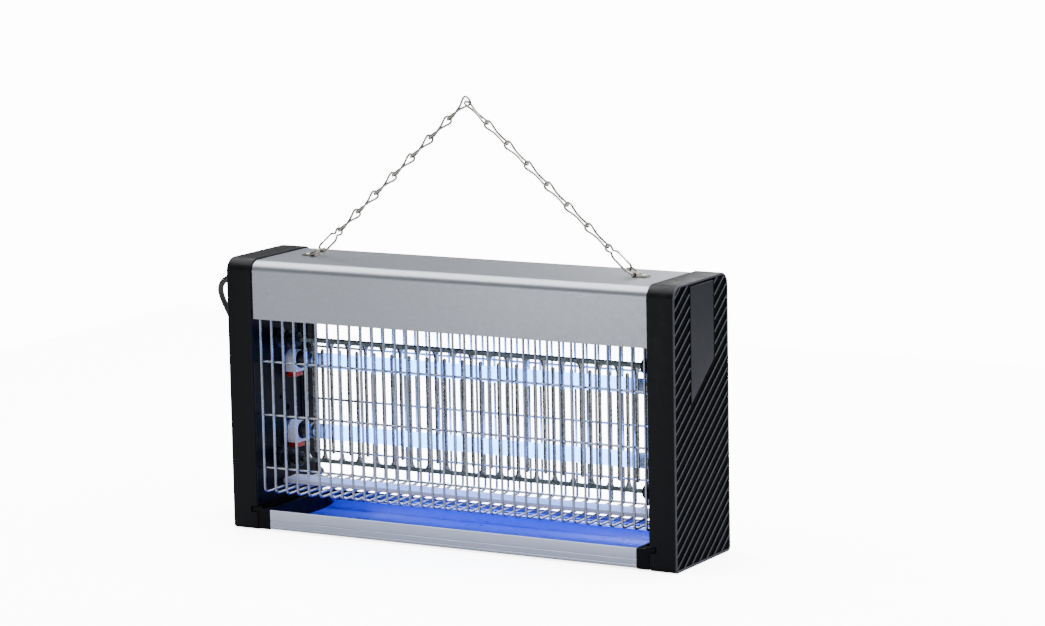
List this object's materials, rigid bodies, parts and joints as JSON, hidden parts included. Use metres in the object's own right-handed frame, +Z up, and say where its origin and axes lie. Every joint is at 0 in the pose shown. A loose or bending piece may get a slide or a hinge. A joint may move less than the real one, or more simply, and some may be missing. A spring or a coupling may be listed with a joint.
{
  "type": "electric insect killer",
  "caption": "Box-shaped electric insect killer with two end caps, wire guard, ultraviolet tubes, high-voltage combs, sliding tray and hanging chain.",
  "frame": {"origin": "middle of the footprint, on the surface the end caps stand on", "axes": "+X along the length to the right cap seen from the front, -Y towards the front, +Z up"},
  "size_m": [0.4856, 0.1946, 0.351],
  "materials": {
    "black_moulding": "satin moulded black",
    "rib_panel": "black with fine diagonal ribs",
    "inlay": "smooth dark grey",
    "housing": "satin folded sheet",
    "guard_wire": "bright plated round wire",
    "brace": "satin",
    "grid": "galvanised sheet",
    "insulator": "black moulded",
    "tube_glass": "coated ultraviolet tube glass",
    "tube_cap": "bright tube cap",
    "lampholder": "white moulded",
    "tray_sheet": "glossy sheet",
    "tray_end": "black moulded",
    "chain": "nickel-plated wire",
    "circuit_board": "green laminate",
    "winding": "varnished copper winding",
    "cord": "black flexible cord"
  },
  "bodies": {
    "root": {"left_cap_shell": "black_moulding", "right_cap_shell": "black_moulding", "left_inner_plate": "black_moulding", "right_inner_plate": "black_moulding", "left_rib_panel": "rib_panel", "right_rib_panel": "rib_panel", "left_inlay": "inlay", "right_inlay": "inlay", "top_housing": "housing", "wire_guard": "guard_wire", "bottom_brace": "brace", "upper_comb": "grid", "lower_comb": "grid", "left_upper_post": "insulator", "left_lower_post": "insulator", "right_upper_post": "insulator", "right_lower_post": "insulator", "left_upper_lampholder": "lampholder", "right_upper_lampholder": "lampholder", "left_lower_lampholder": "lampholder", "right_lower_lampholder": "lampholder", "left_eye_plate": "chain", "right_eye_plate": "chain", "left_circuit_board": "circuit_board", "right_circuit_board": "circuit_board", "left_transformer": "winding", "right_choke": "winding", "strain_relief": "cord", "mains_lead": "cord", "mains_coil": "cord", "mains_plug": "cord"},
    "upper_tube": {"upper_tube_glass": "tube_glass", "left_upper_tube_cap": "tube_cap", "right_upper_tube_cap": "tube_cap"},
    "lower_tube": {"lower_tube_glass": "tube_glass", "left_lower_tube_cap": "tube_cap", "right_lower_tube_cap": "tube_cap"},
    "tray": {"tray_pan": "tray_sheet", "left_tray_end": "tray_end", "right_tray_end": "tray_end"},
    "left_ring": {"left_d_ring": "chain"},
    "left_hook": {"left_snap_hook": "chain"},
    "left_gate": {"left_hook_gate": "chain"},
    "left_link_1": {"left_link_1": "chain"},
    "left_link_2": {"left_link_2": "chain"},
    "left_link_3": {"left_link_3": "chain"},
    "left_link_4": {"left_link_4": "chain"},
    "left_link_5": {"left_link_5": "chain"},
    "left_link_6": {"left_link_6": "chain"},
    "left_link_7": {"left_link_7": "chain"},
    "right_ring": {"right_d_ring": "chain"},
    "right_hook": {"right_snap_hook": "chain"},
    "right_gate": {"right_hook_gate": "chain"},
    "right_link_1": {"right_link_1": "chain"},
    "right_link_2": {"right_link_2": "chain"},
    "right_link_3": {"right_link_3": "chain"},
    "right_link_4": {"right_link_4": "chain"},
    "right_link_5": {"right_link_5": "chain"},
    "right_link_6": {"right_link_6": "chain"},
    "right_link_7": {"right_link_7": "chain"}
  },
  "joints": [
    {"name": "tray_slide", "type": "slide", "parent": "root", "child": "tray", "axis": [0, -1, 0], "range_m": [0, 0.09]},
    {"name": "upper_tube_twist", "type": "hinge", "parent": "root", "child": "upper_tube", "pos_m": [0, 0.0055, 0.1318], "axis": [1, 0, 0], "range_deg": [0, 90]},
    {"name": "lower_tube_twist", "type": "hinge", "parent": "root", "child": "lower_tube", "pos_m": [0, 0.0055, 0.0738], "axis": [1, 0, 0], "range_deg": [0, 90]},
    {"name": "left_ring_tilt", "type": "hinge", "parent": "root", "child": "left_ring", "pos_m": [-0.14547, 0, 0.2192], "axis": [0, -1, 0], "range_deg": [-1.4, 0.4]},
    {"name": "left_chain_swing", "type": "hinge", "parent": "left_ring", "child": "left_hook", "pos_m": [-0.139, 0, 0.223], "axis": [1, 0, 0], "range_deg": [-35, 35]},
    {"name": "left_gate_open", "type": "hinge", "parent": "left_hook", "child": "left_gate", "pos_m": [-0.13037, 0, 0.23523], "axis": [0, -1, 0], "range_deg": [0, 25], "stiffness_Nm_per_rad": 0.004, "springref_deg": -5.73},
    {"name": "left_link_1_fold", "type": "hinge", "parent": "left_hook", "child": "left_link_1", "pos_m": [-0.12044, 0, 0.23974], "axis": [0, -1, 0], "range_deg": [-13, 0]},
    {"name": "left_link_2_fold", "type": "hinge", "parent": "left_link_1", "child": "left_link_2", "pos_m": [-0.1033, 0, 0.25519], "axis": [0, -1, 0], "range_deg": [-0.4, 4.93]},
    {"name": "left_link_3_fold", "type": "hinge", "parent": "left_link_2", "child": "left_link_3", "pos_m": [-0.08617, 0, 0.27065], "axis": [0, -1, 0], "range_deg": [-0.4, 4.93]},
    {"name": "left_link_4_fold", "type": "hinge", "parent": "left_link_3", "child": "left_link_4", "pos_m": [-0.06904, 0, 0.28609], "axis": [0, -1, 0], "range_deg": [-0.4, 4.93]},
    {"name": "left_link_5_fold", "type": "hinge", "parent": "left_link_4", "child": "left_link_5", "pos_m": [-0.05191, 0, 0.30155], "axis": [0, -1, 0], "range_deg": [-0.4, 4.93]},
    {"name": "left_link_6_fold", "type": "hinge", "parent": "left_link_5", "child": "left_link_6", "pos_m": [-0.03478, 0, 0.317], "axis": [0, -1, 0], "range_deg": [-0.4, 4.93]},
    {"name": "left_link_7_fold", "type": "hinge", "parent": "left_link_6", "child": "left_link_7", "pos_m": [-0.01764, 0, 0.33245], "axis": [0, -1, 0], "range_deg": [-0.4, 4.93]},
    {"name": "right_ring_tilt", "type": "hinge", "parent": "root", "child": "right_ring", "pos_m": [0.14547, 0, 0.2192], "axis": [0, 1, 0], "range_deg": [-1.4, 0.4]},
    {"name": "right_chain_swing", "type": "hinge", "parent": "right_ring", "child": "right_hook", "pos_m": [0.139, 0, 0.223], "axis": [1, 0, 0], "range_deg": [-35.2, 35.2]},
    {"name": "right_gate_open", "type": "hinge", "parent": "right_hook", "child": "right_gate", "pos_m": [0.13016, 0, 0.23508], "axis": [0, 1, 0], "range_deg": [0, 25], "stiffness_Nm_per_rad": 0.004, "springref_deg": -5.73},
    {"name": "right_link_1_fold", "type": "hinge", "parent": "right_hook", "child": "right_link_1", "pos_m": [0.12015, 0, 0.23942], "axis": [0, 1, 0], "range_deg": [-13.4, 0.4]},
    {"name": "right_link_2_fold", "type": "hinge", "parent": "right_link_1", "child": "right_link_2", "pos_m": [0.10275, 0, 0.25458], "axis": [0, 1, 0], "range_deg": [-0.4, 4.84]},
    {"name": "right_link_3_fold", "type": "hinge", "parent": "right_link_2", "child": "right_link_3", "pos_m": [0.08536, 0, 0.26973], "axis": [0, 1, 0], "range_deg": [-0.4, 4.84]},
    {"name": "right_link_4_fold", "type": "hinge", "parent": "right_link_3", "child": "right_link_4", "pos_m": [0.06797, 0, 0.28488], "axis": [0, 1, 0], "range_deg": [-0.4, 4.84]},
    {"name": "right_link_5_fold", "type": "hinge", "parent": "right_link_4", "child": "right_link_5", "pos_m": [0.05057, 0, 0.30004], "axis": [0, 1, 0], "range_deg": [-0.4, 4.84]},
    {"name": "right_link_6_fold", "type": "hinge", "parent": "right_link_5", "child": "right_link_6", "pos_m": [0.03318, 0, 0.31519], "axis": [0, 1, 0], "range_deg": [-0.4, 4.84]},
    {"name": "right_link_7_fold", "type": "hinge", "parent": "right_link_6", "child": "right_link_7", "pos_m": [0.01578, 0, 0.33035], "axis": [0, 1, 0], "range_deg": [-0.4, 4.84]}
  ],
  "couplings": [
    {"joint": "left_link_2_fold", "follows": "left_link_1_fold", "ratio": -0.3488},
    {"joint": "left_link_3_fold", "follows": "left_link_1_fold", "ratio": -0.3488},
    {"joint": "left_link_4_fold", "follows": "left_link_1_fold", "ratio": -0.3488},
    {"joint": "left_link_5_fold", "follows": "left_link_1_fold", "ratio": -0.3488},
    {"joint": "left_link_6_fold", "follows": "left_link_1_fold", "ratio": -0.3488},
    {"joint": "left_link_7_fold", "follows": "left_link_1_fold", "ratio": -0.3488},
    {"joint": "left_ring_tilt", "follows": "left_link_1_fold", "ratio": 0.07692},
    {"joint": "right_link_1_fold", "follows": "left_link_1_fold", "ratio": 1},
    {"joint": "right_link_2_fold", "follows": "left_link_1_fold", "ratio": -0.34144},
    {"joint": "right_link_3_fold", "follows": "left_link_1_fold", "ratio": -0.34144},
    {"joint": "right_link_4_fold", "follows": "left_link_1_fold", "ratio": -0.34144},
    {"joint": "right_link_5_fold", "follows": "left_link_1_fold", "ratio": -0.34144},
    {"joint": "right_link_6_fold", "follows": "left_link_1_fold", "ratio": -0.34144},
    {"joint": "right_link_7_fold", "follows": "left_link_1_fold", "ratio": -0.34144},
    {"joint": "right_ring_tilt", "follows": "left_link_1_fold", "ratio": 0.07692},
    {"joint": "right_chain_swing", "follows": "left_chain_swing", "ratio": 1}
  ]
}
